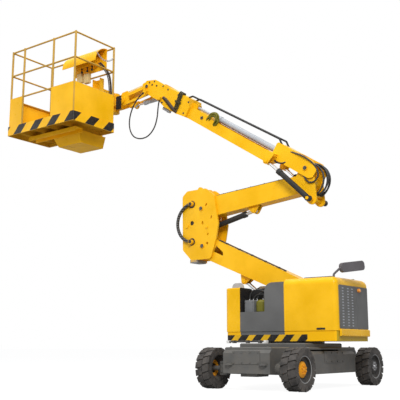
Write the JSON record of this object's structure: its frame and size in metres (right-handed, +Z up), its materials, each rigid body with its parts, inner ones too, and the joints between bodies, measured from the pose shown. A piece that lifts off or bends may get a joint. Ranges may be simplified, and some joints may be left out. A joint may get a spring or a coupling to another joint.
{
  "type": "articulated boom lift",
  "caption": "Compact electric articulated boom lift: wheeled chassis, slewing turntable, folding arms with a knuckle, boom, jib and railed work platform.",
  "frame": {"origin": "on the floor, under the middle of the machine's box with the arms as shown", "axes": "+X is the way the boom reaches, +Y the way the chassis drives, +Z up"},
  "size_m": [5.6054, 2.59, 5.4],
  "materials": {
    "tyre": "moulded solid rubber",
    "wheel_grey": "satin paint",
    "hub_grey": "satin paint",
    "machine_yellow": "gloss paint",
    "rod_chrome": "polished",
    "cylinder_black": "satin paint",
    "chassis_grey": "satin paint",
    "bare_steel": "machined",
    "panel_grey": "satin moulded",
    "counterweight_iron": "painted casting",
    "battery_case": "painted case",
    "hose_rubber": "matt",
    "mirror_grey": "moulded",
    "lamp_amber": "clear moulded",
    "tank_olive": "satin paint",
    "pale_grey": "satin paint",
    "guard_black": "satin paint",
    "rail_yellow": "gloss paint on tube",
    "toe_stripes": "paint in slanted stripes",
    "console_yellow": "gloss moulded",
    "floor_yellow": "worn paint",
    "cover_yellow": "gloss moulded"
  },
  "bodies": {
    "chassis": {"chassis_frame": "chassis_grey", "deck_plate": "chassis_grey", "slew_ring": "bare_steel", "front_axle": "chassis_grey", "rear_axle": "chassis_grey"},
    "steer_left": {"steering_knuckle_left": "chassis_grey"},
    "steer_right": {"steering_knuckle_right": "chassis_grey"},
    "turntable": {"turntable_base": "machine_yellow", "counterweight": "counterweight_iron", "battery_block": "battery_case", "hood": "cover_yellow", "side_panels": "panel_grey", "front_covers": "cover_yellow", "tail_grille": "panel_grey", "tail_lamp": "lamp_amber", "mirror": "mirror_grey", "valve_bay": "tank_olive", "cover_rails": "pale_grey", "bay_bulkheads": "guard_black"},
    "lower_arm": {"lower_arm": "machine_yellow"},
    "arm_knuckle": {"arm_knuckle": "machine_yellow", "knuckle_hose": "hose_rubber"},
    "upper_arm": {"upper_arm": "machine_yellow"},
    "top_head": {"top_head": "machine_yellow", "head_hoses": "hose_rubber"},
    "boom": {"boom": "machine_yellow", "level_cylinder": "pale_grey", "guard_bar": "guard_black", "hose_clamps": "hose_rubber", "boom_hose": "hose_rubber"},
    "jib": {"jib": "machine_yellow", "jib_carrier": "machine_yellow"},
    "platform_bracket": {"platform_bracket": "machine_yellow"},
    "basket": {"basket_mount": "machine_yellow", "basket_floor": "floor_yellow", "basket_rails": "rail_yellow", "basket_panels": "machine_yellow", "toe_boards": "toe_stripes", "console": "console_yellow"},
    "wheel_front_left": {"tyre_front_left": "tyre", "rim_front_left": "wheel_grey", "hub_front_left": "machine_yellow"},
    "wheel_front_right": {"tyre_front_right": "tyre", "rim_front_right": "wheel_grey", "hub_front_right": "machine_yellow"},
    "wheel_rear_left": {"tyre_rear_left": "tyre", "rim_rear_left": "wheel_grey", "hub_rear_left": "hub_grey"},
    "wheel_rear_right": {"tyre_rear_right": "tyre", "rim_rear_right": "wheel_grey", "hub_rear_right": "hub_grey"},
    "lift_barrel": {"lift_cylinder_barrel": "cylinder_black"},
    "lift_rod": {"lift_cylinder_rod": "rod_chrome"},
    "arm_barrel": {"arm_cylinder_barrel": "cylinder_black"},
    "arm_rod": {"arm_cylinder_rod": "rod_chrome"},
    "boom_barrel": {"boom_cylinder_barrel": "cylinder_black"},
    "boom_rod": {"boom_cylinder_rod": "rod_chrome"},
    "jib_barrel": {"jib_cylinder_barrel": "cylinder_black"},
    "jib_rod": {"jib_cylinder_rod": "rod_chrome"}
  },
  "joints": [
    {"name": "steer_left", "type": "hinge", "parent": "chassis", "child": "steer_left", "pos_m": [-2.22768, 0.945, 0.26], "axis": [0, 0, 1], "range_deg": [-30, 30]},
    {"name": "steer_right", "type": "hinge", "parent": "chassis", "child": "steer_right", "pos_m": [-1.28768, 0.945, 0.26], "axis": [0, 0, 1], "range_deg": [-30.5, 30.5]},
    {"name": "roll_front_left", "type": "hinge", "parent": "steer_left", "child": "wheel_front_left", "pos_m": [-2.37768, 0.945, 0.26], "axis": [1, 0, 0], "continuous": true},
    {"name": "roll_front_right", "type": "hinge", "parent": "steer_right", "child": "wheel_front_right", "pos_m": [-1.13768, 0.945, 0.26], "axis": [1, 0, 0], "continuous": true},
    {"name": "roll_rear_left", "type": "hinge", "parent": "chassis", "child": "wheel_rear_left", "pos_m": [-2.37768, -1.035, 0.26], "axis": [1, 0, 0], "continuous": true},
    {"name": "roll_rear_right", "type": "hinge", "parent": "chassis", "child": "wheel_rear_right", "pos_m": [-1.13768, -1.035, 0.26], "axis": [1, 0, 0], "continuous": true},
    {"name": "slew", "type": "hinge", "parent": "chassis", "child": "turntable", "pos_m": [-1.75768, -0.105, 0.595], "axis": [0, 0, 1], "range_deg": [-177, 177]},
    {"name": "raise_lower_arm", "type": "hinge", "parent": "turntable", "child": "lower_arm", "pos_m": [-1.91768, -0.105, 1.27], "axis": [0, -1, 0], "range_deg": [-20, 46]},
    {"name": "keep_knuckle_upright", "type": "hinge", "parent": "lower_arm", "child": "arm_knuckle", "pos_m": [-0.27787, -0.105, 2.00009], "axis": [0, -1, 0], "range_deg": [-46.5, 20.5]},
    {"name": "raise_upper_arm", "type": "hinge", "parent": "arm_knuckle", "child": "upper_arm", "pos_m": [-0.25787, -0.105, 2.57009], "axis": [0, 1, 0], "range_deg": [-8, 55]},
    {"name": "keep_head_upright", "type": "hinge", "parent": "upper_arm", "child": "top_head", "pos_m": [-2.00807, -0.105, 2.73553], "axis": [0, 1, 0], "range_deg": [-55.5, 8.5]},
    {"name": "lower_boom", "type": "hinge", "parent": "top_head", "child": "boom", "pos_m": [-2.05807, -0.105, 2.93053], "axis": [0, 1, 0], "range_deg": [-42, 25]},
    {"name": "lower_jib", "type": "hinge", "parent": "boom", "child": "jib", "pos_m": [0.83573, -0.105, 4.72632], "axis": [0, 1, 0], "range_deg": [-40, 34]},
    {"name": "level_platform", "type": "hinge", "parent": "jib", "child": "platform_bracket", "pos_m": [1.4497, -0.105, 4.64003], "axis": [0, -1, 0], "range_deg": [-82, 59]},
    {"name": "turn_basket", "type": "hinge", "parent": "platform_bracket", "child": "basket", "pos_m": [1.7127, -0.105, 4.64003], "axis": [0, 0, 1], "range_deg": [-178, 2]},
    {"name": "lift_barrel_swing", "type": "hinge", "parent": "turntable", "child": "lift_barrel", "pos_m": [-1.69768, -0.105, 0.85], "axis": [0, -1, 0], "range_deg": [-17.12, 38.73]},
    {"name": "lift_rod_slide", "type": "slide", "parent": "lift_barrel", "child": "lift_rod", "axis": [0.7757, 0, 0.6311], "range_m": [-0.1522, 0.3475]},
    {"name": "arm_barrel_swing", "type": "hinge", "parent": "arm_knuckle", "child": "arm_barrel", "pos_m": [-0.35787, -0.105, 2.28009], "axis": [0, -1, 0], "range_deg": [-50.73, 7.81]},
    {"name": "arm_rod_slide", "type": "slide", "parent": "arm_barrel", "child": "arm_rod", "axis": [-0.9737, 0, 0.2278], "range_m": [-0.0429, 0.2831]},
    {"name": "boom_barrel_swing", "type": "hinge", "parent": "top_head", "child": "boom_barrel", "pos_m": [-2.12807, -0.105, 2.49053], "axis": [0, -1, 0], "range_deg": [-15.04, 24.93]},
    {"name": "boom_rod_slide", "type": "slide", "parent": "boom_barrel", "child": "boom_rod", "axis": [0.7201, 0, 0.6939], "range_m": [-0.1039, 0.1731]},
    {"name": "jib_barrel_swing", "type": "hinge", "parent": "boom", "child": "jib_barrel", "pos_m": [0.59628, -0.105, 4.53505], "axis": [0, -1, 0], "range_deg": [-21.91, 25.69]},
    {"name": "jib_rod_slide", "type": "slide", "parent": "jib_barrel", "child": "jib_rod", "axis": [0.9997, 0, -0.0248], "range_m": [-0.1121, 0.1316]}
  ],
  "couplings": [
    {"joint": "steer_right", "follows": "steer_left", "ratio": 1},
    {"joint": "keep_knuckle_upright", "follows": "raise_lower_arm", "ratio": -1},
    {"joint": "keep_head_upright", "follows": "raise_upper_arm", "ratio": -1},
    {"joint": "lift_barrel_swing", "follows": "raise_lower_arm", "ratio": 0.83115},
    {"joint": "lift_rod_slide", "follows": "raise_lower_arm", "m_per_rad": 0.4303},
    {"joint": "arm_barrel_swing", "follows": "raise_upper_arm", "ratio": -0.91328},
    {"joint": "arm_rod_slide", "follows": "raise_upper_arm", "m_per_rad": 0.29285},
    {"joint": "boom_barrel_swing", "follows": "lower_boom", "ratio": -0.58174},
    {"joint": "boom_rod_slide", "follows": "lower_boom", "m_per_rad": -0.23348},
    {"joint": "jib_barrel_swing", "follows": "lower_jib", "ratio": -0.62986},
    {"joint": "jib_rod_slide", "follows": "lower_jib", "m_per_rad": -0.18559}
  ]
}
